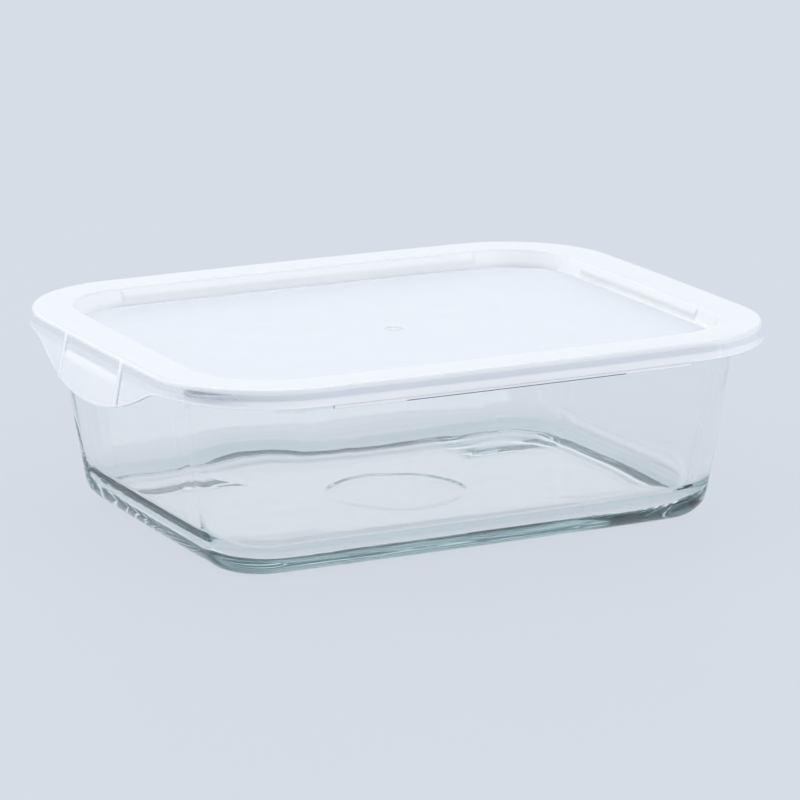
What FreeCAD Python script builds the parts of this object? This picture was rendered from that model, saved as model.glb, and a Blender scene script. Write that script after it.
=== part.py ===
"""Rectangular pressed-glass food box with a one-piece press-on lid.

Units are millimetres. X runs along the length with the pull tab at -X, Y runs across,
Z is up, and the origin is the middle of the base. The lid is drawn closed.

Every outline is a rounded rectangle with gently bowed sides. A section point is written
as (inset, height): the inset is measured inwards from the lower edge of the lid skirt.
"""
import FreeCAD
import Part
import math
import os

os.makedirs("parts", exist_ok=True)

# Overall sizes
LID_LENGTH = 206.0
LID_WIDTH = 166.0
BOX_HEIGHT = 63.1
CORNER_RADIUS = 38.5
BOW_LONG_DEG = 1.55
BOW_SHORT_DEG = 1.07

# Glass dish
BASE_LENGTH = 171.2
BASE_WIDTH = 125.2
BASE_CORNER_RADIUS = 18.4
FLOOR_THICKNESS = 5.0
WALL_THICKNESS = 4.2
WALL_BELLY = 0.5
BASE_ROUNDING = 7.0
FLOOR_ROUNDING = 9.0
FOOT_HEIGHT = 0.6
FOOT_INSET_X = 38.0
FOOT_INSET_Y = 27.0
FLOOR_MARK_RADIUS = 22.2
FLOOR_MARK_DEPTH = 0.2
RIM_THICKNESS = 4.0
NECK_HEIGHT = 8.0

# Lid
LID_WALL = 1.3
SKIRT_HEIGHT = 6.1
SKIRT_DRAFT_DEG = 8.0
SKIRT_EDGE_RADIUS = 1.2
RIM_WIDTH = 13.6
RIM_CROWN = 0.3
RECESS_DEPTH = 6.3
RECESS_SLOPE = 1.9
PAD_DEPTH = 0.5
LONG_PAD_LENGTH = 130.0
SHORT_PAD_LENGTH = 75.0
GATE_RADIUS = 2.9
GATE_DEPTH = 0.35

# Snap strips along the two long skirts
STRIP_LENGTH = 121.0
STRIP_DROP = 1.2
HOOK_LENGTH = 74.0

# Pull tab at the -X end
TAB_DROP = 11.8
TAB_ARC_RADIUS = 89.0
TAB_BLEND_RADIUS = 26.0
TAB_FLARE_DEG = 11.0
TAB_RIB_SPACING = 43.0
TAB_RIB_WIDTH = 2.4
TAB_RIB_HEIGHT = 0.5
TAB_PANEL_STEP = 0.35

# Clearances between the rigid glass and the lid
TOP_GAP = 0.35
SIDE_GAP = 0.35

# Chords in which small section roundings, the two large base roundings and the wall belly are drawn
ROUNDING_STEPS = 2
BASE_STEPS = 4
WALL_STEPS = 4

UP = FreeCAD.Vector(0, 0, 1)
BOW_LONG = math.radians(BOW_LONG_DEG)
BOW_SHORT = math.radians(BOW_SHORT_DEG)

# Heights and insets that follow from the sizes above
SKIRT_BOTTOM = BOX_HEIGHT - SKIRT_HEIGHT
PANEL_TOP = BOX_HEIGHT - RECESS_DEPTH
PANEL_BOTTOM = PANEL_TOP - LID_WALL
WEB_BOTTOM = BOX_HEIGHT - RIM_CROWN - LID_WALL
RIM_TOP = WEB_BOTTOM - TOP_GAP
RIM_BOTTOM = RIM_TOP - RIM_THICKNESS
NECK_Z = RIM_TOP - NECK_HEIGHT
SKIRT_LEAN = math.tan(math.radians(SKIRT_DRAFT_DEG))
TAB_LEAN = math.tan(math.radians(TAB_FLARE_DEG))
TAB_BOTTOM = SKIRT_BOTTOM - TAB_DROP
LEG_TOP_INSET = RIM_WIDTH - LID_WALL
LEG_BOTTOM_INSET = RIM_WIDTH + RECESS_SLOPE - LID_WALL
GLASS_INNER_INSET = LEG_BOTTOM_INSET - RECESS_SLOPE / 2 - SIDE_GAP
GLASS_NECK_INSET = GLASS_INNER_INSET - WALL_THICKNESS + 1.0
PANEL_INSET = RIM_WIDTH + RECESS_SLOPE + 5.0


def skirt_inset(height):
    """Inset of the outer skirt face at a height."""
    return (height - SKIRT_BOTTOM) * SKIRT_LEAN


def tab_inset(height):
    """Inset of the outer tab face, which flares outwards below the skirt edge."""
    return (height - SKIRT_BOTTOM) * TAB_LEAN


class Outline:
    """Rounded rectangle whose four sides are shallow arcs tangent to the corner arcs."""

    def __init__(self, length, width, radius):
        long_bow = math.tan(BOW_LONG / 2)
        short_bow = math.tan(BOW_SHORT / 2)
        span_x = length / 2 - radius
        span_y = width / 2 - radius
        share = 1 - long_bow * short_bow
        self.length = length
        self.width = width
        self.radius = radius
        self.cx = (span_x - short_bow * span_y) / share
        self.cy = (span_y - long_bow * span_x) / share

    def inset(self, distance):
        """Parallel outline moved inwards."""
        return Outline(self.length - 2 * distance, self.width - 2 * distance, self.radius - distance)

    def arcs(self):
        """Eight tangent arcs, counter-clockwise, as (centre, radius, start angle, end angle)."""
        side = self.radius + self.cx / math.sin(BOW_LONG)
        end = self.radius + self.cy / math.sin(BOW_SHORT)
        side_y = self.cy - (side - self.radius) * math.cos(BOW_LONG)
        end_x = self.cx - (end - self.radius) * math.cos(BOW_SHORT)
        half = math.pi / 2
        result = []
        for turn in range(4):
            start = turn * half
            if turn % 2 == 0:
                sign = 1 - turn
                middle = FreeCAD.Vector(sign * end_x, 0, 0)
                result.append((middle, end, start - BOW_SHORT, start + BOW_SHORT))
                corner = FreeCAD.Vector(sign * self.cx, sign * self.cy, 0)
                result.append((corner, self.radius, start + BOW_SHORT, start + half - BOW_LONG))
            else:
                sign = 2 - turn
                middle = FreeCAD.Vector(0, sign * side_y, 0)
                result.append((middle, side, start - BOW_LONG, start + BOW_LONG))
                corner = FreeCAD.Vector(-sign * self.cx, sign * self.cy, 0)
                result.append((corner, self.radius, start + BOW_LONG, start + half - BOW_SHORT))
        return result

    def wire(self, height):
        """Closed wire of the outline at a height."""
        edges = []
        for centre, radius, start, end in self.arcs():
            middle = centre + UP * height
            edges.append(Part.makeCircle(radius, middle, UP, math.degrees(start), math.degrees(end)))
        return Part.Wire(edges)

    def prism(self, bottom, top):
        """Straight block with this outline."""
        return Part.Face(self.wire(bottom)).extrude(UP * (top - bottom))


def rounded_section(points):
    """Closed section polygon whose corners (inset, height, radius) are rounded in short chords."""
    spots = []
    count = len(points)
    for i in range(count):
        here = FreeCAD.Vector(points[i][0], points[i][1], 0)
        before = FreeCAD.Vector(points[i - 1][0], points[i - 1][1], 0)
        after = FreeCAD.Vector(points[(i + 1) % count][0], points[(i + 1) % count][1], 0)
        radius = points[i][2]
        if radius == 0:
            spots.append(here)
            continue
        to_before = (before - here).normalize()
        to_after = (after - here).normalize()
        half = to_before.getAngle(to_after) / 2
        reach = radius / math.tan(half)
        centre = here + (to_before + to_after).normalize() * (radius / math.sin(half))
        first = here + to_before * reach - centre
        last = here + to_after * reach - centre
        sweep = math.pi - 2 * half
        for step in range(ROUNDING_STEPS + 1):
            share = step / ROUNDING_STEPS
            turned = first * math.sin(sweep * (1 - share)) + last * math.sin(sweep * share)
            spots.append(centre + turned * (1 / math.sin(sweep)))
    return spots


def section_face(spots, centre, radius, angle):
    """Section placed in the upright plane that leaves an arc centre at an angle."""
    outwards = FreeCAD.Vector(math.cos(angle), math.sin(angle), 0)
    placed = [centre + outwards * (radius - spot.x) + UP * spot.y for spot in spots]
    return Part.Face(Part.makePolygon(placed + [placed[0]]))


def ring(points, arcs):
    """Section carried round a run of tangent outline arcs."""
    spots = rounded_section(points)
    sectors = []
    for centre, radius, start, end in arcs:
        face = section_face(spots, centre, radius, start)
        sectors.append(face.revolve(centre, UP, math.degrees(end - start)))
    joined = sectors[0].multiFuse(sectors[1:])
    return joined.removeSplitter()


def box(x0, x1, y0, y1, z0, z1):
    """Upright block between two corners."""
    return Part.makeBox(x1 - x0, y1 - y0, z1 - z0, FreeCAD.Vector(x0, y0, z0))


def between(low, high, share):
    """Outline part of the way from a lower to a higher one."""
    return Outline(
        low.length + (high.length - low.length) * share,
        low.width + (high.width - low.width) * share,
        low.radius + (high.radius - low.radius) * share,
    )


def rounded_frustum(low, low_z, high, high_z, rounding):
    """Tapered solid between two outlines, with its lower edge rounded and its walls faintly bellied."""
    wires = []
    for step in range(BASE_STEPS + 1):
        turn = math.pi / 2 * step / BASE_STEPS
        rise = rounding * (1 - math.cos(turn))
        level = between(low, high, rise / (high_z - low_z))
        wires.append(level.inset(rounding * (1 - math.sin(turn))).wire(low_z + rise))
    for step in range(1, WALL_STEPS + 1):
        share = rise / (high_z - low_z) + (1 - rise / (high_z - low_z)) * step / WALL_STEPS
        belly = WALL_BELLY * math.sin(math.pi * step / WALL_STEPS)
        level = between(low, high, share).inset(-belly)
        wires.append(level.wire(low_z + (high_z - low_z) * share))
    return Part.makeLoft(wires, True, True)


RIM = Outline(LID_LENGTH, LID_WIDTH, CORNER_RADIUS)
BASE = Outline(BASE_LENGTH, BASE_WIDTH, BASE_CORNER_RADIUS)


def foot_relief():
    """Shallow cross under the base that leaves four corner feet, with the floor mark above it."""
    half_x = BASE_LENGTH / 2 - FOOT_INSET_X
    half_y = BASE_WIDTH / 2 - FOOT_INSET_Y
    across = box(-half_x, half_x, -BASE_WIDTH, BASE_WIDTH, -1, FOOT_HEIGHT)
    along = box(-BASE_LENGTH, BASE_LENGTH, -half_y, half_y, -1, FOOT_HEIGHT)
    mark = Part.makeCylinder(FLOOR_MARK_RADIUS, FOOT_HEIGHT + FLOOR_MARK_DEPTH + 1, UP * -1)
    return across.fuse(along).fuse(mark)


def glass_dish():
    """Tapered glass dish: rounded base on four feet, and a beaded rim under the lid."""
    neck = RIM.inset(GLASS_NECK_INSET)
    inner_neck = RIM.inset(GLASS_NECK_INSET + WALL_THICKNESS)
    rise = FLOOR_THICKNESS / NECK_Z
    floor = between(BASE, neck, rise).inset(WALL_THICKNESS)
    outside = rounded_frustum(BASE, 0, neck, NECK_Z, BASE_ROUNDING)
    inside = rounded_frustum(floor, FLOOR_THICKNESS, inner_neck, NECK_Z, FLOOR_ROUNDING)
    bead_inset = skirt_inset(RIM_BOTTOM + RIM_THICKNESS / 2) + LID_WALL + SIDE_GAP
    bead = RIM_THICKNESS / 2 - 0.01
    rim = ring(
        [
            (GLASS_NECK_INSET, NECK_Z, 0),
            (GLASS_NECK_INSET - 0.6, RIM_BOTTOM, 2.4),
            (bead_inset, RIM_BOTTOM, bead),
            (bead_inset, RIM_TOP, bead),
            (GLASS_INNER_INSET - 0.4, RIM_TOP, 2.2),
            (GLASS_INNER_INSET + 0.1, RIM_BOTTOM, 6.0),
            (GLASS_NECK_INSET + WALL_THICKNESS, NECK_Z, 0),
        ],
        RIM.arcs(),
    )
    dish = outside.cut(inside).cut(foot_relief())
    return dish.fuse(rim).removeSplitter()


def lid_shell():
    """Rim channel that rides over the glass bead, with the sunk panel it carries."""
    top = BOX_HEIGHT
    edge = top - RIM_CROWN
    outer = skirt_inset(edge)
    wall_foot = RIM_WIDTH + RECESS_SLOPE
    channel = ring(
        [
            (0, SKIRT_BOTTOM, 0),
            (outer, edge, SKIRT_EDGE_RADIUS),
            (RIM_WIDTH / 2, top, 0),
            (RIM_WIDTH, edge, 0.9),
            (wall_foot, PANEL_TOP, 0.8),
            (PANEL_INSET, PANEL_TOP, 0),
            (PANEL_INSET, PANEL_BOTTOM, 0),
            (LEG_BOTTOM_INSET, PANEL_BOTTOM, 0.7),
            (LEG_TOP_INSET, WEB_BOTTOM, 0),
            (outer + LID_WALL, WEB_BOTTOM, 0),
            (LID_WALL, SKIRT_BOTTOM, 0),
        ],
        RIM.arcs(),
    )
    panel = RIM.inset(PANEL_INSET - 1).prism(PANEL_BOTTOM, PANEL_TOP)
    return channel.fuse(panel).removeSplitter()


def recess_pads():
    """Slightly proud pads on the upper part of the recess wall, one on each side."""
    lean = RECESS_SLOPE / (RECESS_DEPTH - RIM_CROWN)
    upper = BOX_HEIGHT - RIM_CROWN - 0.9
    lower = PANEL_TOP + RECESS_DEPTH * 0.38
    upper_inset = RIM_WIDTH + (BOX_HEIGHT - RIM_CROWN - upper) * lean
    lower_inset = RIM_WIDTH + (BOX_HEIGHT - RIM_CROWN - lower) * lean
    band = ring(
        [
            (upper_inset - 0.4, upper, 0),
            (upper_inset, upper, 0),
            (upper_inset + PAD_DEPTH, upper - 0.8, 0),
            (lower_inset + PAD_DEPTH, lower + 0.3, 0),
            (lower_inset, lower, 0),
            (lower_inset - 0.4, lower, 0),
        ],
        RIM.arcs(),
    )
    half_long = LONG_PAD_LENGTH / 2
    half_short = SHORT_PAD_LENGTH / 2
    keep_long = box(-half_long, half_long, -LID_WIDTH, LID_WIDTH, 0, BOX_HEIGHT)
    keep_short = box(-LID_LENGTH, LID_LENGTH, -half_short, half_short, 0, BOX_HEIGHT)
    return band.common(keep_long.fuse(keep_short))


def snap_strips():
    """Lower skirt strips on the long sides, with an inward hook along the middle of each."""
    low = SKIRT_BOTTOM - STRIP_DROP
    lap = SKIRT_BOTTOM + 0.6
    bead_inset = skirt_inset(RIM_BOTTOM + RIM_THICKNESS / 2) + LID_WALL + SIDE_GAP
    hook = bead_inset - SIDE_GAP + 0.05
    sides = [arc for arc in RIM.arcs() if abs(arc[0].x) < 0.001]
    strip = []
    for side in sides:
        plain = ring(
            [
                (0.35, low, 0),
                (0.35, lap, 0),
                (LID_WALL, lap, 0),
                (LID_WALL, low, 0),
            ],
            [side],
        )
        hooked = ring(
            [
                (0.6, low, 0),
                (0.6, SKIRT_BOTTOM, 0),
                (LID_WALL, SKIRT_BOTTOM, 0),
                (hook, SKIRT_BOTTOM - 0.45, 0),
                (hook, low + 0.2, 0),
            ],
            [side],
        )
        plain_keep = box(-STRIP_LENGTH / 2, STRIP_LENGTH / 2, -LID_WIDTH, LID_WIDTH, 0, BOX_HEIGHT)
        hook_keep = box(-HOOK_LENGTH / 2, HOOK_LENGTH / 2, -LID_WIDTH, LID_WIDTH, 0, BOX_HEIGHT)
        strip.append(plain.common(plain_keep))
        strip.append(hooked.common(hook_keep))
    return strip


def tab_silhouette():
    """Upright prism of the tab seen from the end: a large arc blended into the skirt edge."""
    centre_z = TAB_BOTTOM + TAB_ARC_RADIUS
    blend_z = SKIRT_BOTTOM - TAB_BLEND_RADIUS
    reach = TAB_ARC_RADIUS + TAB_BLEND_RADIUS
    blend_y = math.sqrt(reach ** 2 - (centre_z - blend_z) ** 2)
    meet = TAB_ARC_RADIUS / reach
    meet_y = blend_y * meet
    meet_z = centre_z + (blend_z - centre_z) * meet
    turn = math.atan2(meet_z - blend_z, meet_y - blend_y)
    half_turn = (turn + math.pi / 2) / 2
    mid_y = blend_y + TAB_BLEND_RADIUS * math.cos(half_turn)
    mid_z = blend_z + TAB_BLEND_RADIUS * math.sin(half_turn)
    x = -LID_LENGTH

    def spot(y, z):
        return FreeCAD.Vector(x, y, z)

    lap = SKIRT_BOTTOM + 1.0
    edges = [
        Part.Arc(spot(-blend_y, SKIRT_BOTTOM), spot(-mid_y, mid_z), spot(-meet_y, meet_z)).toShape(),
        Part.Arc(spot(-meet_y, meet_z), spot(0, TAB_BOTTOM), spot(meet_y, meet_z)).toShape(),
        Part.Arc(spot(meet_y, meet_z), spot(mid_y, mid_z), spot(blend_y, SKIRT_BOTTOM)).toShape(),
        Part.makeLine(spot(blend_y, SKIRT_BOTTOM), spot(blend_y, lap)),
        Part.makeLine(spot(blend_y, lap), spot(-blend_y, lap)),
        Part.makeLine(spot(-blend_y, lap), spot(-blend_y, SKIRT_BOTTOM)),
    ]
    return Part.Face(Part.Wire(edges)).extrude(FreeCAD.Vector(LID_LENGTH, 0, 0))


def end_arcs():
    """The short side at -X and the corner on each side of it."""
    return RIM.arcs()[3:6]


def tab_band(proud, deep):
    """Flared band below the -X skirt; proud moves its outer face out, deep sets its inner face."""
    lap = SKIRT_BOTTOM + 1.0
    low = TAB_BOTTOM - 2.0
    return ring(
        [
            (skirt_inset(lap) - proud + 0.05, lap, 0),
            (-proud, SKIRT_BOTTOM, 0),
            (tab_inset(low) - proud, low, 0),
            (tab_inset(low) + deep, low, 0),
            (deep, SKIRT_BOTTOM, 0),
            (skirt_inset(lap) + deep, lap, 0),
        ],
        end_arcs(),
    )


def pull_tab():
    """Flared pull tab with a raised middle panel and two upright ribs."""
    silhouette = tab_silhouette()
    half = TAB_RIB_SPACING / 2
    plate = tab_band(0, LID_WALL).common(silhouette)
    middle = box(-LID_LENGTH, 0, -half, half, 0, SKIRT_BOTTOM - 0.8)
    panel = tab_band(TAB_PANEL_STEP, 0.3).common(silhouette).common(middle)
    pieces = [plate, panel]
    for side in (-1, 1):
        y = side * half
        slot = box(-LID_LENGTH, 0, y - TAB_RIB_WIDTH / 2, y + TAB_RIB_WIDTH / 2, 0, BOX_HEIGHT)
        pieces.append(tab_band(TAB_RIB_HEIGHT, 0.3).common(silhouette).common(slot))
        pieces.append(skirt_rib().common(slot))
    return pieces


def skirt_rib():
    """Band on the outer skirt face from which the two upright ribs are kept."""
    low = SKIRT_BOTTOM + 0.2
    high = BOX_HEIGHT - RIM_CROWN - SKIRT_EDGE_RADIUS
    return ring(
        [
            (skirt_inset(low) - TAB_RIB_HEIGHT, low, 0),
            (skirt_inset(high) - 0.1, high, 0),
            (skirt_inset(high) + 0.3, high, 0),
            (skirt_inset(low) + 0.3, low, 0),
        ],
        end_arcs(),
    )


def gate_mark():
    """Ring-shaped dimple in the middle of the panel."""
    depth = UP * (PANEL_TOP - GATE_DEPTH)
    outer = Part.makeCylinder(GATE_RADIUS, GATE_DEPTH + 1, depth)
    inner = Part.makeCylinder(GATE_RADIUS * 0.6, GATE_DEPTH + 1, depth)
    return outer.cut(inner)


def lid():
    """One-piece soft lid."""
    added = [recess_pads()] + snap_strips() + pull_tab()
    body = lid_shell().multiFuse(added).removeSplitter()
    return body.cut(gate_mark())


def save(name, shape):
    """Write one node as a single solid."""
    solid = shape.Solids[0]
    solid.exportStep("parts/" + name + ".step")
    print(name, len(shape.Solids), solid.isValid(), round(solid.Volume / 1000, 1), solid.BoundBox)


save("glass_dish", glass_dish())
save("lid", lid())
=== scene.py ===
import bpy
import math
import numpy as np
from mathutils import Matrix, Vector


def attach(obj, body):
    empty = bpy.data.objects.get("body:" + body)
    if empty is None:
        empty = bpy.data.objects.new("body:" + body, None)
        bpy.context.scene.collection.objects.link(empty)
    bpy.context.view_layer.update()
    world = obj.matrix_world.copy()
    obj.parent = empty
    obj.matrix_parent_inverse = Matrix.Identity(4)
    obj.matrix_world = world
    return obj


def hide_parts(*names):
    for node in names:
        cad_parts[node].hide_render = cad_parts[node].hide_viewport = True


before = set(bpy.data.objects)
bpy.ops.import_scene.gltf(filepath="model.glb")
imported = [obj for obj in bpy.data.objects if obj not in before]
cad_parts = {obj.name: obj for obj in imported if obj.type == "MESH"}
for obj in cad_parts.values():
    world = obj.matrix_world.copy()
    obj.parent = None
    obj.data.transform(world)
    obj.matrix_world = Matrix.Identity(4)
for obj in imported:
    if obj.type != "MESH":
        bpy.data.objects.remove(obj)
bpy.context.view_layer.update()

# Sizes in millimetres, the same as in the solids; meshes are written in metres.
MM = 0.001
LID_LENGTH, LID_WIDTH, BOX_HEIGHT, CORNER_RADIUS = 206.0, 166.0, 63.1, 38.5
BOW_LONG, BOW_SHORT = math.radians(1.55), math.radians(1.07)
BASE_LENGTH, BASE_WIDTH, BASE_CORNER_RADIUS = 171.2, 125.2, 18.4
FLOOR_THICKNESS, WALL_THICKNESS, WALL_BELLY = 5.0, 4.2, 0.5
BASE_ROUNDING, FLOOR_ROUNDING = 7.0, 9.0
FOOT_HEIGHT, FOOT_INSET_X, FOOT_INSET_Y = 0.6, 38.0, 27.0
FLOOR_MARK_RADIUS, FLOOR_MARK_DEPTH = 22.2, 0.2
RIM_THICKNESS, NECK_HEIGHT = 4.0, 8.0
LID_WALL, SKIRT_HEIGHT, SKIRT_EDGE_RADIUS = 1.3, 6.1, 1.2
SKIRT_LEAN = math.tan(math.radians(8.0))
RIM_WIDTH, RIM_CROWN, RECESS_DEPTH, RECESS_SLOPE = 13.6, 0.3, 6.3, 1.9
PAD_DEPTH, LONG_PAD, SHORT_PAD = 0.5, 64.6, 37.5
GATE_RADIUS, GATE_DEPTH = 2.9, 0.35
STRIP_HALF, STRIP_DROP, HOOK_HALF = 60.5, 1.2, 37.0
TAB_DROP, TAB_ARC, TAB_BLEND = 11.8, 89.0, 26.0
TAB_LEAN = math.tan(math.radians(11.0))
RIB_Y, RIB_HALF, RIB_HEIGHT, TAB_PANEL_STEP = 21.5, 1.2, 0.5, 0.35
TOP_GAP = SIDE_GAP = 0.35

# Finer forms of the pressed glass: eased inner corners, soft feet and floor mark, slow waviness.
INNER_EASE = 1.4
FOOT_BLEND_IN, FOOT_BLEND_OUT, MARK_BLEND_IN, MARK_BLEND_OUT = 9.0, 6.0, 2.0, 1.2
INNER_WAVE, INNER_FINE_WAVE, FLOOR_WAVE, OUTER_WAVE = 0.10, 0.03, 0.05, 0.05
ROUND_STEPS, WALL_STEPS, SKIRT_STEPS = 12, 16, 19

# Finer forms of the lid: where its panel starts, the gate dimple, the strip face.
PANEL_START, GATE_DIMPLE, STRIP_INSET = 20.5, 0.12, 0.35

SKIRT_BOTTOM = BOX_HEIGHT - SKIRT_HEIGHT
PANEL_TOP = BOX_HEIGHT - RECESS_DEPTH
PANEL_BOTTOM = PANEL_TOP - LID_WALL
WEB_BOTTOM = BOX_HEIGHT - RIM_CROWN - LID_WALL
RIM_TOP = WEB_BOTTOM - TOP_GAP
RIM_BOTTOM = RIM_TOP - RIM_THICKNESS
NECK_Z = RIM_TOP - NECK_HEIGHT
LEG_TOP = RIM_WIDTH - LID_WALL
LEG_FOOT = RIM_WIDTH + RECESS_SLOPE - LID_WALL
GLASS_INNER = LEG_FOOT - RECESS_SLOPE / 2 - SIDE_GAP
GLASS_NECK = GLASS_INNER - WALL_THICKNESS + 1.0


# Outlines of the box.

def spread(low, high, count):
    return list(np.linspace(low, high, count))


def side_stops(half, marks, pitch):
    """Even stops along a side plus a close pair at every mark, so that steps stay crisp."""
    stops = set(spread(-half, half, int(2 * half / pitch) + 1))
    for mark in marks:
        for sign in (-1, 1):
            for nudge in (-0.12, 0.0, 0.12):
                stops.add(sign * (mark + nudge))
    ordered = sorted(stop for stop in stops if -half <= stop <= half)
    kept = [ordered[0]]
    for stop in ordered[1:]:
        if stop - kept[-1] > 0.05:
            kept.append(stop)
    return kept


class Outline:
    """Rounded rectangle with bowed sides, made of eight tangent arcs."""

    def __init__(self, length, width, radius):
        q, p = math.tan(BOW_LONG / 2), math.tan(BOW_SHORT / 2)
        sx, sy = length / 2 - radius, width / 2 - radius
        self.size = (length, width, radius)
        self.radius = radius
        self.cx = (sx - p * sy) / (1 - p * q)
        self.cy = (sy - q * sx) / (1 - p * q)
        self.side = radius + self.cx / math.sin(BOW_LONG)
        self.end = radius + self.cy / math.sin(BOW_SHORT)
        self.side_y = self.cy - (self.side - radius) * math.cos(BOW_LONG)
        self.end_x = self.cx - (self.end - radius) * math.cos(BOW_SHORT)

    def inset(self, d):
        length, width, radius = self.size
        return Outline(length - 2 * d, width - 2 * d, radius - d)

    def at(self, kind, sx, sy, angle):
        """Point of the outline: on a side, an end or a corner, at a direction angle."""
        c, s = math.cos(angle), math.sin(angle)
        if kind == "side":
            return (self.side * c, sy * self.side_y + self.side * s)
        if kind == "end":
            return (sx * self.end_x + self.end * c, self.end * s)
        return (sx * self.cx + self.radius * c, sy * self.cy + self.radius * s)


def between(low, high, share):
    return Outline(*[a + (b - a) * share for a, b in zip(low.size, high.size)])


RIM = Outline(LID_LENGTH, LID_WIDTH, CORNER_RADIUS)
BASE = Outline(BASE_LENGTH, BASE_WIDTH, BASE_CORNER_RADIUS)


def perimeter(long_marks, short_marks, corner_count, pitch=2.6):
    """Stations round the outline, counter-clockwise from the +X end."""
    half_x = RIM.side * math.sin(BOW_LONG)
    half_y = RIM.end * math.sin(BOW_SHORT)
    stations = []
    for turn in range(4):
        start = turn * math.pi / 2
        if turn % 2 == 0:
            sx = 1 - turn
            for y in side_stops(half_y, short_marks, pitch)[:-1]:
                stations.append(("end", sx, 0, start + math.asin(y / RIM.end)))
            corner = (sx, sx, start + BOW_SHORT, start + math.pi / 2 - BOW_LONG)
        else:
            sy = 2 - turn
            for x in side_stops(half_x, long_marks, pitch)[:-1]:
                stations.append(("side", 0, sy, start + math.asin(x / RIM.side)))
            corner = (-sy, sy, start + BOW_LONG, start + math.pi / 2 - BOW_SHORT)
        for angle in spread(corner[2], corner[3], corner_count + 1)[:-1]:
            stations.append(("corner", corner[0], corner[1], angle))
    return stations


def ring_points(outline, stations):
    return np.array([outline.at(*station) for station in stations])


def rounded(points, steps):
    """Open polyline of (inset, height) whose corners with a radius are rounded."""
    result = []
    for i, (u, v, radius) in enumerate(points):
        here = np.array((u, v), float)
        if radius == 0 or i in (0, len(points) - 1):
            result.append(tuple(here))
            continue
        a = np.array(points[i - 1][:2], float) - here
        b = np.array(points[i + 1][:2], float) - here
        a /= np.linalg.norm(a)
        b /= np.linalg.norm(b)
        half = math.acos(np.clip(a @ b, -1, 1)) / 2
        reach = radius / math.tan(half)
        middle = (a + b) / np.linalg.norm(a + b)
        centre = here + middle * radius / math.sin(half)
        first, last = here + a * reach - centre, here + b * reach - centre
        sweep = math.pi - 2 * half
        for k in range(steps + 1):
            t = k / steps
            mixed = first * math.sin(sweep * (1 - t)) + last * math.sin(sweep * t)
            result.append(tuple(centre + mixed / math.sin(sweep)))
    return result


def resample(points, longest):
    """Adds points so that no straight run of a polyline is longer than a length."""
    result = [points[0]]
    for a, b in zip(points, points[1:]):
        count = max(1, int(math.ceil(math.hypot(b[0] - a[0], b[1] - a[1]) / longest)))
        for k in range(1, count + 1):
            result.append((a[0] + (b[0] - a[0]) * k / count, a[1] + (b[1] - a[1]) * k / count))
    return result


def smooth(x, low, high):
    t = np.clip((x - low) / (high - low), 0, 1)
    return t * t * (3 - 2 * t)


def grid_mesh(name, rings, caps, materials, white):
    """Quads between rings of equal count; caps close the end rings, white is a value per point."""
    rings = [np.asarray(ring, float) for ring in rings]
    count = len(rings[0])
    verts = np.vstack(rings)
    faces = []
    for r in range(len(rings) - 1):
        a, b = r * count, (r + 1) * count
        for j in range(count):
            k = (j + 1) % count
            faces.append((a + j, a + k, b + k, b + j))
    extra = []
    for which, point in caps:
        centre = len(verts) + len(extra)
        extra.append(point)
        base = which * count
        for j in range(count):
            k = (j + 1) % count
            faces.append((base + k, base + j, centre) if which == 0 else (base + j, base + k, centre))
    verts = np.vstack([verts, np.array(extra)])
    mesh = bpy.data.meshes.new(name)
    mesh.from_pydata((verts * MM).tolist(), [], faces)
    for material in materials:
        mesh.materials.append(material)
    mesh.polygons.foreach_set("use_smooth", [True] * len(faces))
    values = np.concatenate([np.concatenate(white), [white[0][0], white[-1][0]]])
    attribute = mesh.attributes.new("white", "FLOAT", "POINT")
    attribute.data.foreach_set("value", values.astype(np.float32))
    mesh.update()
    piece = bpy.data.objects.new(name, mesh)
    bpy.context.scene.collection.objects.link(piece)
    return piece


# The glass dish.

def ripple(x, y, z, scale, seed):
    """Slow waviness of a pressed surface, between about -1 and 1."""
    a = np.sin(x / scale * 1.00 + 1.7 * np.sin(y / scale * 0.61 + seed) + seed * 2.1)
    b = np.sin(y / scale * 1.13 + 1.3 * np.sin(z / scale * 0.87 + seed * 1.7) + seed)
    c = np.sin(z / scale * 1.31 + 1.1 * np.sin(x / scale * 0.53 + seed * 0.7) + seed * 3.3)
    return (a + b + c) / 3


def cap_rings(outline_ring, z, stops, circle_from):
    """Rings that shrink from an outline towards the middle, turning into circles on the way."""
    angles = np.arctan2(outline_ring[:, 1], outline_ring[:, 0])
    circle = np.c_[np.cos(angles), np.sin(angles)]
    rings = []
    for radius in stops:
        if radius <= circle_from:
            flat = circle * radius
        else:
            t = (radius - circle_from) / (stops[0] - circle_from)
            flat = outline_ring * t + circle * circle_from * (1 - t)
        rings.append(np.c_[flat, np.full(len(flat), z)])
    return rings


def frustum_rings(low, low_z, high, high_z, rounding, stations, ease=0.0):
    """Rings up a tapered wall, rounded base edge first; ease widens its corners."""
    rings = []

    def level_at(share):
        length, width, radius = between(low, high, share).size
        return Outline(length, width, radius + ease * float(1 - smooth(share, 0.6, 1.0)))

    for step in range(ROUND_STEPS + 1):
        turn = math.pi / 2 * step / ROUND_STEPS
        rise = rounding * (1 - math.cos(turn))
        level = level_at(rise / (high_z - low_z)).inset(rounding * (1 - math.sin(turn)))
        flat = ring_points(level, stations)
        rings.append(np.c_[flat, np.full(len(flat), low_z + rise)])
    start = rounding / (high_z - low_z)
    for step in range(1, WALL_STEPS + 1):
        share = start + (1 - start) * step / WALL_STEPS
        belly = WALL_BELLY * math.sin(math.pi * step / WALL_STEPS)
        flat = ring_points(level_at(share).inset(-belly), stations)
        rings.append(np.c_[flat, np.full(len(flat), low_z + (high_z - low_z) * share)])
    return rings


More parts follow.
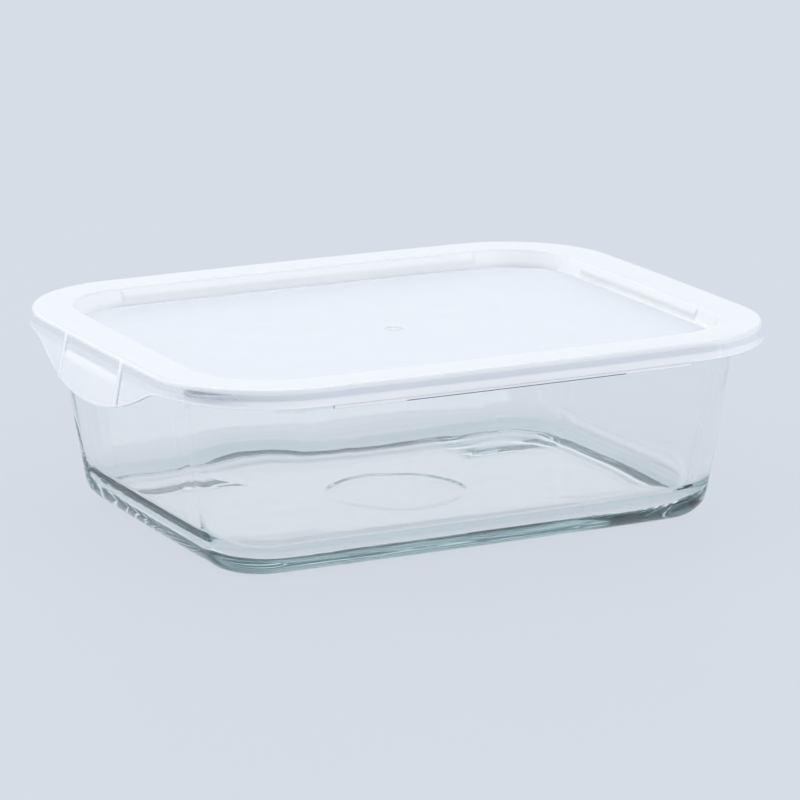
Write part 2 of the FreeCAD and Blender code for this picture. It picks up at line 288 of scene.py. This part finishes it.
def build_dish(materials):
    foot_x = BASE_LENGTH / 2 - FOOT_INSET_X
    foot_y = BASE_WIDTH / 2 - FOOT_INSET_Y
    stations = perimeter((foot_x - 0.6, foot_x + 0.6), (foot_y - 0.6, foot_y + 0.6), 26, 3.0)
    neck = RIM.inset(GLASS_NECK)
    inner_neck = RIM.inset(GLASS_NECK + WALL_THICKNESS)
    floor = between(BASE, neck, FLOOR_THICKNESS / NECK_Z).inset(WALL_THICKNESS)
    outer = frustum_rings(BASE, 0, neck, NECK_Z, BASE_ROUNDING, stations)
    inner = frustum_rings(floor, FLOOR_THICKNESS, inner_neck, NECK_Z, FLOOR_ROUNDING, stations, INNER_EASE)
    bead_inset = (RIM_BOTTOM + RIM_THICKNESS / 2 - SKIRT_BOTTOM) * SKIRT_LEAN + LID_WALL + SIDE_GAP
    section = rounded(
        [
            (GLASS_NECK, NECK_Z, 0),
            (GLASS_NECK - 0.6, RIM_BOTTOM, 2.4),
            (bead_inset, RIM_BOTTOM, 1.98),
            (bead_inset, RIM_TOP, 1.98),
            (GLASS_INNER - 0.4, RIM_TOP, 2.2),
            (GLASS_INNER + 0.1, RIM_BOTTOM, 6.0),
            (GLASS_NECK + WALL_THICKNESS, NECK_Z, 0),
        ],
        7,
    )
    rim = []
    for inset, height in resample(section, 1.2)[1:-1]:
        flat = ring_points(RIM.inset(inset), stations)
        rim.append(np.c_[flat, np.full(len(flat), height)])

    mark = FLOOR_MARK_RADIUS
    stops = spread(60, 25, 26) + [23.6, 23.0, 22.5, 22.0, 21.5, 20.8, 19.5, 17, 13, 9, 5, 2]
    under = cap_rings(outer[0][:, :2], 0, stops, 24.2)
    inside = cap_rings(inner[0][:, :2], FLOOR_THICKNESS, spread(60, 28, 13) + [22, 16, 10, 5, 2], 23.4)

    # Four corner feet: the rest of the underside is relieved by the foot height.
    for ring in under + outer[:6]:
        x, y = np.abs(ring[:, 0]), np.abs(ring[:, 1])
        relief = np.maximum(
            1 - smooth(x, foot_x - FOOT_BLEND_IN, foot_x + FOOT_BLEND_OUT),
            1 - smooth(y, foot_y - FOOT_BLEND_IN, foot_y + FOOT_BLEND_OUT),
        )
        ring[:, 2] = np.maximum(ring[:, 2], FOOT_HEIGHT * relief + 0.08 * ring[:, 2])
    for ring in under:
        radius = np.hypot(ring[:, 0], ring[:, 1])
        ring[:, 2] += FLOOR_MARK_DEPTH * (1 - smooth(radius, mark - MARK_BLEND_IN, mark + MARK_BLEND_OUT))

    rings = under[::-1][:-1] + outer + rim + inner[::-1] + inside[1:]
    first_inner = len(under) - 1 + len(outer) + len(rim)
    calm = np.array([0.15 if station[0] == "corner" else 1.0 for station in stations])
    calm = sum(np.roll(calm, k) for k in range(-6, 7)) / 13
    for index, ring in enumerate(rings):
        x, y, z = ring[:, 0].copy(), ring[:, 1].copy(), ring[:, 2].copy()
        reach = np.hypot(x, y) + 1e-9
        wall = smooth(z, 12.0, 24.0) * (1 - smooth(z, 44.0, 52.0)) * calm
        if index >= first_inner:
            wave = INNER_WAVE * ripple(x, y, z, 8.0, 1.3) + INNER_FINE_WAVE * ripple(x, y, z, 5.3, 4.1)
            ring[:, 0] += x / reach * wave * wall
            ring[:, 1] += y / reach * wave * wall
            flat_floor = 1 - smooth(z, FLOOR_THICKNESS + 0.2, FLOOR_THICKNESS + 1.2)
            away = 0.4 + 0.6 * smooth(reach, 12.0, 40.0)
            ring[:, 2] += FLOOR_WAVE * ripple(x, y, z, 11.0, 2.2) * flat_floor * away
        else:
            wave = OUTER_WAVE + OUTER_WAVE * ripple(x, y, z, 12.0, 0.4)
            ring[:, 0] -= x / reach * wave * wall
            ring[:, 1] -= y / reach * wave * wall
    # Painted light: the thick rounded edge round the base, where light gathers in the glass, is made milky
    # pale teal.
    white = [np.zeros(len(stations)) for _ in rings]
    for step, share in enumerate((0.25, 0.6, 0.9, 1, 1, 1, 1, 1, 0.9, 0.7, 0.4, 0.15, 0.0)):
        white[len(under) - 1 + step] += share
    bottom = FOOT_HEIGHT + FLOOR_MARK_DEPTH
    return grid_mesh(
        "glass_dish_pressed", rings,
        [(0, (0, 0, bottom)), (len(rings) - 1, (0, 0, FLOOR_THICKNESS))],
        materials, white,
    )


# The lid. Whiteness runs from clear thin wall to bright thick plastic, with painted highlights on lit
# edges;
# the slit under the middle of each strip is painted dark as shade.

PANEL_WHITE, RIM_WHITE, SKIRT_WHITE, CLEAR_WHITE = 0.52, 0.72, 0.48, 0.10
# Painted light in the whiteness: a highlight on lit edges and ribs, shade in the strip slits, a glow along
# the skirt's bottom edge.
EDGE_HIGHLIGHT_WHITE, SLIT_PAINTED_SHADE, WEB_WHITE = 0.95, -0.4, 0.55
TAB_WHITE, LOWER_WHITE, UPPER_WHITE, PAINTED_GLOW_WHITE = 0.42, 0.85, 0.80, 0.98


def tab_drop(y):
    """How far the pull tab hangs below the skirt edge at a place across the box."""
    y = abs(y)
    centre_z = SKIRT_BOTTOM - TAB_DROP + TAB_ARC
    blend_z = SKIRT_BOTTOM - TAB_BLEND
    reach = TAB_ARC + TAB_BLEND
    blend_y = math.sqrt(reach ** 2 - (centre_z - blend_z) ** 2)
    meet_y = blend_y * TAB_ARC / reach
    if y >= blend_y:
        return 0.0
    if y > meet_y:
        return TAB_BLEND - math.sqrt(TAB_BLEND ** 2 - (blend_y - y) ** 2)
    return SKIRT_BOTTOM - (centre_z - math.sqrt(TAB_ARC ** 2 - y ** 2))


class LidStation:
    """What the lid carries at one place round its rim."""

    def __init__(self, station):
        kind, sx, _, angle = station
        x, y = RIM.at(*station)
        tab_end = kind == "end" and sx < 0
        self.tab = tab_drop(y) if x < -50 else 0.0
        self.strip = STRIP_DROP if kind == "side" and abs(x) < STRIP_HALF else 0.0
        self.hook = 1.0 if kind == "side" and abs(x) < HOOK_HALF else 0.0
        long_pad = kind == "side" and abs(x) < LONG_PAD
        short_pad = kind == "end" and abs(y) < SHORT_PAD
        self.pad = 1.0 if long_pad or short_pad else 0.0
        off_rib = abs(abs(y) - RIB_Y)
        self.rib = float(1 - smooth(off_rib, RIB_HALF - 0.3, RIB_HALF + 0.3)) if tab_end else 0.0
        self.middle = 1.0 if tab_end and abs(y) < RIB_Y else 0.0
        self.clear = float(smooth(abs(math.cos(angle)), 0.45, 0.90))

    def outer(self, z):
        """Inset of the outer skirt face."""
        if z >= SKIRT_BOTTOM:
            top = BOX_HEIGHT - RIM_CROWN - SKIRT_EDGE_RADIUS
            fade = np.clip((top - z) / (top - SKIRT_BOTTOM), 0, 1)
            return (z - SKIRT_BOTTOM) * SKIRT_LEAN - self.rib * (0.1 + 0.4 * fade)
        if self.tab > 0.01:
            step = self.rib * RIB_HEIGHT
            below = np.clip((SKIRT_BOTTOM - 0.8 - z) / 0.5, 0, 1)
            step = max(step, self.middle * TAB_PANEL_STEP * below)
            return (z - SKIRT_BOTTOM) * TAB_LEAN - step
        return STRIP_INSET

    def inner(self, z):
        """Inset of the inner skirt face."""
        if z >= SKIRT_BOTTOM:
            return LID_WALL + (z - SKIRT_BOTTOM) * SKIRT_LEAN
        if self.tab > 0.01:
            return LID_WALL + (z - SKIRT_BOTTOM) * TAB_LEAN
        return LID_WALL

    def section(self):
        """Closed section as (inset, height), from the panel top round to the panel underside."""
        edge = BOX_HEIGHT - RIM_CROWN
        outer_top = (edge - SKIRT_BOTTOM) * SKIRT_LEAN
        foot = RIM_WIDTH + RECESS_SLOPE
        lean = RECESS_SLOPE / (RECESS_DEPTH - RIM_CROWN)
        pad_top, pad_low = edge - 0.9, PANEL_TOP + RECESS_DEPTH * 0.38

        def wall(z, proud):
            return RIM_WIDTH + (edge - z) * lean + proud * PAD_DEPTH * self.pad

        top = rounded(
            [
                (PANEL_START, PANEL_TOP, 0),
                (foot, PANEL_TOP, 0.8),
                (wall(pad_low - 0.15, 0), pad_low - 0.15, 0),
                (wall(pad_low + 0.3, 1), pad_low + 0.3, 0),
                (wall(pad_top - 0.8, 1), pad_top - 0.8, 0),
                (wall(pad_top, 0), pad_top, 0),
                (RIM_WIDTH, edge, 0.8),
                (RIM_WIDTH - 3.2, BOX_HEIGHT - 0.1, 6.0),
                (RIM_WIDTH / 2, BOX_HEIGHT, 0),
                (RIM_WIDTH - 10.4, BOX_HEIGHT - 0.1, 6.0),
                (outer_top, edge, SKIRT_EDGE_RADIUS),
                (0.05, SKIRT_BOTTOM + 0.4, 0),
            ],
            6,
        )[:-1]
        top = [(u, v, self.top_white(u, v)) for u, v in top]
        start_z = top[-1][1]
        bottom = SKIRT_BOTTOM - max(self.tab, self.strip)
        if self.strip and not self.tab:
            above = start_z - SKIRT_BOTTOM
            zs = [start_z - above * k / SKIRT_STEPS for k in range(1, SKIRT_STEPS + 1)]
            skirt = [(self.outer(z), z) for z in zs]
            skirt += [(STRIP_INSET - 0.01, SKIRT_BOTTOM - 0.02)]
            skirt += [(STRIP_INSET, z) for z in (SKIRT_BOTTOM - 0.4, bottom + 0.36, bottom + 0.28)]
        else:
            middle = max(SKIRT_BOTTOM, bottom + 0.35)
            zs = spread(start_z, middle, 13)[1:] + spread(middle, bottom + 0.2, 12)[1:]
            skirt = [(self.outer(z), z) for z in zs]
        skirt = [(u, v, self.skirt_white(v, bottom)) for u, v in skirt]
        # Painted shade on the last skirt row above the slit under the strip.
        if self.hook:
            skirt[-1] = (*skirt[-1][:2], SLIT_PAINTED_SHADE)
        lip_out, lip_in = self.outer(bottom + 0.01), self.inner(bottom + 0.01)
        hook = 0.0
        if self.hook:
            hook = (RIM_BOTTOM + RIM_THICKNESS / 2 - SKIRT_BOTTOM) * SKIRT_LEAN + 0.05
        if self.strip and not self.tab:
            lip_out = STRIP_INSET
        # The lip rows get painted shade under the hook and a painted highlight elsewhere.
        painted_lip_light = SLIT_PAINTED_SHADE if self.hook else EDGE_HIGHLIGHT_WHITE
        lip = [
            (lip_out + 0.03, bottom + 0.12, painted_lip_light),
            (lip_out + 0.2, bottom, painted_lip_light),
            (lip_in - 0.2 + hook * 0.4, bottom, painted_lip_light),
            (lip_in - 0.03 + hook, bottom + 0.15, painted_lip_light),
        ]
        inside = []
        high = WEB_BOTTOM - 0.5
        low = bottom + 0.3
        middle = max(SKIRT_BOTTOM, low + 0.2)
        for z in spread(low, middle, 7)[:-1] + spread(middle, high, 8):
            bulge = hook * float(1 - smooth(z, SKIRT_BOTTOM - 0.45, SKIRT_BOTTOM)) if hook else 0.0
            inside.append((self.inner(z) + bulge, z, self.skirt_white(z, bottom)))
        web = rounded(
            [
                (self.inner(high), high, 0),
                (outer_top + LID_WALL, WEB_BOTTOM, 0.3),
                (LEG_TOP, WEB_BOTTOM, 0.4),
                (LEG_FOOT - 0.02, PANEL_BOTTOM, 0.7),
                (PANEL_START, PANEL_BOTTOM, 0),
            ],
            3,
        )[1:]
        web = [(u, v, WEB_WHITE if v > WEB_BOTTOM - 1 else PANEL_WHITE) for u, v in web]
        return top + skirt + lip + inside + web

    def top_white(self, inset, height):
        """Whiteness of the upper side: thin clear panel, rim whiter for its thickness and partly as
        painted light, recess wall with a painted highlight.
        """
        rise = float(smooth(height, PANEL_TOP + 0.1, PANEL_TOP + 1.6))
        wall = rise * float(1 - smooth(height, BOX_HEIGHT - 1.4, BOX_HEIGHT - 0.5))
        wall *= float(smooth(inset, RIM_WIDTH - 1.5, RIM_WIDTH - 0.5))
        # The recess wall is whitened further as a painted highlight.
        return PANEL_WHITE + (RIM_WHITE - PANEL_WHITE) * rise + (0.26 + 0.04 * self.pad) * wall

    def skirt_white(self, height, bottom):
        """Whiteness of the skirt: clear band under the rim, bright lower half, painted highlights on ribs,
        tab ledge and bottom edge.
        """
        rise = height - SKIRT_BOTTOM
        value = SKIRT_WHITE + (CLEAR_WHITE - SKIRT_WHITE) * self.clear
        value += (LOWER_WHITE - 0.45 * self.clear - value) * float(1 - smooth(rise, 1.8, 2.8))
        value += (UPPER_WHITE - value) * float(smooth(rise, 3.9, 4.6))
        if self.tab > 0.3 and height < SKIRT_BOTTOM:
            value = TAB_WHITE + 0.24 * self.middle
            # Painted highlight on the tab ledge, which faces up into the light.
            ledge_highlight = smooth(rise, -2.6, -1.8) * (1 - smooth(rise, -0.8, 0.0))
            value += 0.28 * self.middle * float(ledge_highlight)
        # Ribs take the edge whiteness: partly thicker plastic, partly a painted highlight.
        value = max(value, EDGE_HIGHLIGHT_WHITE * self.rib)
        # Painted glow along the skirt's bottom edge, a highlight where light comes through the plastic.
        glow = float(1 - smooth(height, bottom + 0.3, bottom + 1.2))
        return value + (PAINTED_GLOW_WHITE - value) * glow


def build_lid(materials):
    rib_edges = [RIB_Y + side * (RIB_HALF + k * 0.28) for side in (-1, 1) for k in (-1, 0, 1)]
    stations = perimeter((STRIP_HALF, HOOK_HALF, LONG_PAD), (SHORT_PAD, *rib_edges), 30, 2.4)
    carried = [LidStation(station) for station in stations]
    sections = np.array([item.section() for item in carried])
    rings = []
    for row in range(sections.shape[1]):
        ring = []
        for station, (inset, height, _) in zip(stations, sections[:, row]):
            angle = station[3]
            x, y = RIM.at(*station)
            ring.append((x - math.cos(angle) * inset, y - math.sin(angle) * inset, height))
        rings.append(np.array(ring))
    stops = [60.0, 52, 44, 36, 28, 20, 14, 9, 6, 4.2, 3.3, 2.95, 2.85, 2.6, 2.2, 1.85, 1.7, 1.3, 0.7]
    top = cap_rings(rings[0][:, :2], PANEL_TOP, stops, 9.0)
    for ring in top:
        radius = np.hypot(ring[:, 0], ring[:, 1])
        groove = smooth(radius, 1.6, 1.9) * (1 - smooth(radius, GATE_RADIUS - 0.15, GATE_RADIUS + 0.1))
        ring[:, 2] -= GATE_DEPTH * groove
        ring[:, 2] -= GATE_DIMPLE * (1 - smooth(radius, 0.0, 1.5))
    low = cap_rings(rings[-1][:, :2], PANEL_BOTTOM, [60.0, 52, 44, 36, 28, 20, 14, 9, 5, 2], 9.0)
    every = top[::-1][:-1] + rings + low[1:]
    plain = np.full(len(stations), PANEL_WHITE)
    white = [plain] * (len(top) - 1) + [sections[:, row, 2] for row in range(sections.shape[1])]
    white += [plain] * (len(low) - 1)
    return grid_mesh(
        "lid_moulded", every,
        [(0, (0, 0, PANEL_TOP - GATE_DIMPLE)), (len(every) - 1, (0, 0, PANEL_BOTTOM))],
        materials, white,
    )


# Materials.

def new_material(name):
    material = bpy.data.materials.new(name)
    material.use_nodes = True
    nodes, links = material.node_tree.nodes, material.node_tree.links
    return material, nodes, links, nodes["Principled BSDF"]


def noise_node(nodes, links, coords, scale, detail, roughness=0.5):
    node = nodes.new("ShaderNodeTexNoise")
    node.inputs["Scale"].default_value = scale
    node.inputs["Detail"].default_value = detail
    node.inputs["Roughness"].default_value = roughness
    links.new(coords.outputs["Object"], node.inputs["Vector"])
    return node


def ramp_node(nodes, links, source, low, high, a, b):
    node = nodes.new("ShaderNodeMapRange")
    node.inputs["From Min"].default_value = low
    node.inputs["From Max"].default_value = high
    node.inputs["To Min"].default_value = a
    node.inputs["To Max"].default_value = b
    links.new(source, node.inputs["Value"])
    return node


def bump_node(nodes, links, height, strength, distance, normal=None):
    node = nodes.new("ShaderNodeBump")
    node.inputs["Strength"].default_value = strength
    node.inputs["Distance"].default_value = distance
    links.new(height, node.inputs["Height"])
    if normal is not None:
        links.new(normal, node.inputs["Normal"])
    return node


def colour_mix(nodes, links, factor, a, b):
    node = nodes.new("ShaderNodeMix")
    node.data_type = "RGBA"
    node.inputs["A"].default_value = (*a, 1)
    node.inputs["B"].default_value = (*b, 1)
    links.new(factor, node.inputs["Factor"])
    return node.outputs["Result"]


def glass_material():
    material, nodes, links, shader = new_material("pressed_clear_glass")
    coords = nodes.new("ShaderNodeTexCoord")
    shader.inputs["IOR"].default_value = 1.51
    # Painted light: the white attribute turns the thick base edge milky pale teal, standing in for light
    # gathered in the glass.
    edge = nodes.new("ShaderNodeAttribute")
    edge.attribute_name = "white"
    clear = ramp_node(nodes, links, edge.outputs["Fac"], 0.0, 1.0, 1.0, 0.95)
    links.new(clear.outputs["Result"], shader.inputs["Transmission Weight"])
    slow = noise_node(nodes, links, coords, 22.0, 2.0)
    tint = ramp_node(nodes, links, slow.outputs["Fac"], 0.35, 0.65, 0.0, 1.0)
    wall = nodes.new("ShaderNodeMix")
    wall.data_type = "RGBA"
    links.new(edge.outputs["Fac"], wall.inputs["Factor"])
    links.new(colour_mix(nodes, links, tint.outputs["Result"], (0.994, 0.998, 0.998), (0.999, 1.0, 1.0)),
              wall.inputs["A"])
    links.new(colour_mix(nodes, links, tint.outputs["Result"], (0.76, 0.87, 0.87), (0.83, 0.92, 0.92)),
              wall.inputs["B"])
    links.new(wall.outputs["Result"], shader.inputs["Base Color"])
    haze = noise_node(nodes, links, coords, 160.0, 3.0)
    links.new(ramp_node(nodes, links, haze.outputs["Fac"], 0.45, 0.75, 0.0, 0.035).outputs["Result"],
              shader.inputs["Roughness"])
    orange = noise_node(nodes, links, coords, 55.0, 1.5)
    bump = bump_node(nodes, links, orange.outputs["Fac"], 0.10, 0.0006)
    links.new(bump.outputs["Normal"], shader.inputs["Normal"])
    volume = nodes.new("ShaderNodeVolumeAbsorption")
    volume.inputs["Color"].default_value = (0.42, 0.70, 0.70, 1)
    volume.inputs["Density"].default_value = 6.0
    links.new(volume.outputs["Volume"], nodes["Material Output"].inputs["Volume"])
    return material


def lid_material():
    """Soft translucent plastic: clearer where the wall is thin, whiter where it is thick, with painted
    highlights on lit edges and painted shade where the whiteness goes below zero.
    """
    material, nodes, links, shader = new_material("translucent_soft_plastic")
    coords = nodes.new("ShaderNodeTexCoord")
    shader.inputs["IOR"].default_value = 1.50
    white = nodes.new("ShaderNodeAttribute")
    white.attribute_name = "white"
    cloud = noise_node(nodes, links, coords, 34.0, 3.0)
    drift = ramp_node(nodes, links, cloud.outputs["Fac"], 0.3, 0.7, -0.03, 0.03)
    mottled = nodes.new("ShaderNodeMath")
    mottled.operation = "ADD"
    links.new(white.outputs["Fac"], mottled.inputs[0])
    links.new(drift.outputs["Result"], mottled.inputs[1])
    clear = ramp_node(nodes, links, mottled.outputs["Value"], 0.0, 1.0, 0.92, 0.10)
    # Painted shade: below zero whiteness the plastic turns dark and opaque, for the slit under each strip.
    shade = ramp_node(nodes, links, white.outputs["Fac"], -0.3, 0.05, 0.0, 1.0)
    seen = nodes.new("ShaderNodeMath")
    seen.operation = "MULTIPLY"
    links.new(clear.outputs["Result"], seen.inputs[0])
    links.new(shade.outputs["Result"], seen.inputs[1])
    links.new(seen.outputs["Value"], shader.inputs["Transmission Weight"])
    tone = ramp_node(nodes, links, mottled.outputs["Value"], 0.55, 0.68, 0.0, 1.0)
    slit_shade_or_plastic = nodes.new("ShaderNodeMix")
    slit_shade_or_plastic.data_type = "RGBA"
    slit_shade_or_plastic.inputs["A"].default_value = (0.16, 0.19, 0.22, 1)
    links.new(shade.outputs["Result"], slit_shade_or_plastic.inputs["Factor"])
    links.new(colour_mix(nodes, links, tone.outputs["Result"], (0.875, 0.905, 0.95), (0.975, 0.98, 0.985)),
              slit_shade_or_plastic.inputs["B"])
    links.new(slit_shade_or_plastic.outputs["Result"], shader.inputs["Base Color"])
    grain = noise_node(nodes, links, coords, 2600.0, 2.0)
    rough = ramp_node(nodes, links, mottled.outputs["Value"], 0.15, 0.45, 0.06, 0.36)
    speck = ramp_node(nodes, links, grain.outputs["Fac"], 0.3, 0.7, -0.02, 0.02)
    satin = nodes.new("ShaderNodeMath")
    satin.operation = "ADD"
    links.new(rough.outputs["Result"], satin.inputs[0])
    links.new(speck.outputs["Result"], satin.inputs[1])
    links.new(satin.outputs["Value"], shader.inputs["Roughness"])
    flow = noise_node(nodes, links, coords, 70.0, 1.0)
    first = bump_node(nodes, links, flow.outputs["Fac"], 0.06, 0.0006)
    fine = bump_node(nodes, links, grain.outputs["Fac"], 0.1, 0.00001, first.outputs["Normal"])
    links.new(fine.outputs["Normal"], shader.inputs["Normal"])
    return material


GLASS = glass_material()
LID = lid_material()

dish = build_dish([GLASS])
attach(dish, "dish")
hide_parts("glass_dish")

lid = build_lid([LID])
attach(lid, "lid")
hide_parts("lid")


# Floor, light and camera.

BACKDROP = (0.680, 0.723, 0.791)
LAMP_COLOUR = (1, 0.97, 0.93)
LAMP_AIM = Vector((0, 0, 0.03))
FLOOR_CLEARANCE = 0.0002
PATH_LENGTH = 32


def floor_material():
    material, nodes, links, shader = new_material("pale_floor")
    coords = nodes.new("ShaderNodeTexCoord")
    grain = noise_node(nodes, links, coords, 3.0, 4.0)
    tone = ramp_node(nodes, links, grain.outputs["Fac"], 0.3, 0.7, 0.0, 1.0)
    a = tuple(c * 0.985 for c in BACKDROP)
    b = tuple(c * 1.015 for c in BACKDROP)
    links.new(colour_mix(nodes, links, tone.outputs["Result"], a, b), shader.inputs["Base Color"])
    shader.inputs["Roughness"].default_value = 0.32
    shader.inputs["Specular IOR Level"].default_value = 0.35
    distance = nodes.new("ShaderNodeVectorMath")
    distance.operation = "LENGTH"
    links.new(coords.outputs["Object"], distance.inputs[0])
    far = ramp_node(nodes, links, distance.outputs["Value"], 0.12, 0.75, 0.88, 1.0)
    far.interpolation_type = "SMOOTHSTEP"
    ray = nodes.new("ShaderNodeLightPath")
    seen = ray.outputs["Is Camera Ray"]
    for kind in ("Is Glossy Ray", "Is Transmission Ray"):
        either = nodes.new("ShaderNodeMath")
        either.operation = "MAXIMUM"
        links.new(seen, either.inputs[0])
        links.new(ray.outputs[kind], either.inputs[1])
        seen = either.outputs["Value"]
    share = nodes.new("ShaderNodeMath")
    share.operation = "MULTIPLY"
    links.new(far.outputs["Result"], share.inputs[0])
    links.new(seen, share.inputs[1])
    glow = nodes.new("ShaderNodeEmission")
    glow.inputs["Color"].default_value = (*BACKDROP, 1)
    mix = nodes.new("ShaderNodeMixShader")
    links.new(share.outputs["Value"], mix.inputs["Fac"])
    links.new(shader.outputs["BSDF"], mix.inputs[1])
    links.new(glow.outputs["Emission"], mix.inputs[2])
    links.new(mix.outputs["Shader"], nodes["Material Output"].inputs["Surface"])
    return material


def build_floor():
    mesh = bpy.data.meshes.new("floor")
    half = 4.0
    corners = [(-half, -half, 0), (half, -half, 0), (half, half, 0), (-half, half, 0)]
    mesh.from_pydata(corners, [], [(0, 1, 2, 3)])
    mesh.materials.append(floor_material())
    floor = bpy.data.objects.new("floor", mesh)
    bpy.context.scene.collection.objects.link(floor)
    floor.location.z = -FLOOR_CLEARANCE


def build_world():
    world = bpy.data.worlds.new("studio")
    bpy.context.scene.world = world
    world.use_nodes = True
    background = world.node_tree.nodes["Background"]
    background.inputs["Color"].default_value = (*BACKDROP, 1)
    background.inputs["Strength"].default_value = 1.0


def softbox(name, place, size, power):
    light = bpy.data.lights.new(name, "AREA")
    light.shape = "RECTANGLE"
    light.size, light.size_y = size
    light.energy = power
    light.color = LAMP_COLOUR
    lamp = bpy.data.objects.new(name, light)
    lamp.location = place
    lamp.rotation_euler = (LAMP_AIM - Vector(place)).to_track_quat("-Z", "Y").to_euler()
    bpy.context.scene.collection.objects.link(lamp)


def build_camera():
    place = Vector((-590.70, -1177.47, 361.32)) * MM
    aim = Vector((-2.266, -8.617, 35.826)) * MM
    data = bpy.data.cameras.new("camera")
    data.sensor_fit = "HORIZONTAL"
    data.sensor_width = 36.0
    data.lens = 193.2
    data.clip_start, data.clip_end = 0.05, 50.0
    camera = bpy.data.objects.new("camera", data)
    camera.location = place
    camera.rotation_euler = (aim - place).to_track_quat("-Z", "Y").to_euler()
    bpy.context.scene.collection.objects.link(camera)
    bpy.context.scene.camera = camera


build_floor()
build_world()
softbox("overhead", (0.0, 0.25, 1.1), (1.3, 1.0), 1.4)
softbox("left_window", (-1.2, 0.2, 0.7), (1.2, 1.2), 3.4)
softbox("front", (0.75, -2.0, 0.75), (3.0, 1.7), 16.5)
softbox("back_left", (-1.0, 1.8, 0.35), (1.5, 0.9), 2.4)
softbox("back", (0.9, 1.9, 0.65), (2.4, 1.2), 2.2)
build_camera()
bpy.context.scene.view_settings.view_transform = "Standard"

# Light runs a long way inside the thick glass before it leaves, so its paths are kept long.
paths = bpy.context.scene.cycles
paths.max_bounces = paths.transmission_bounces = paths.glossy_bounces = PATH_LENGTH
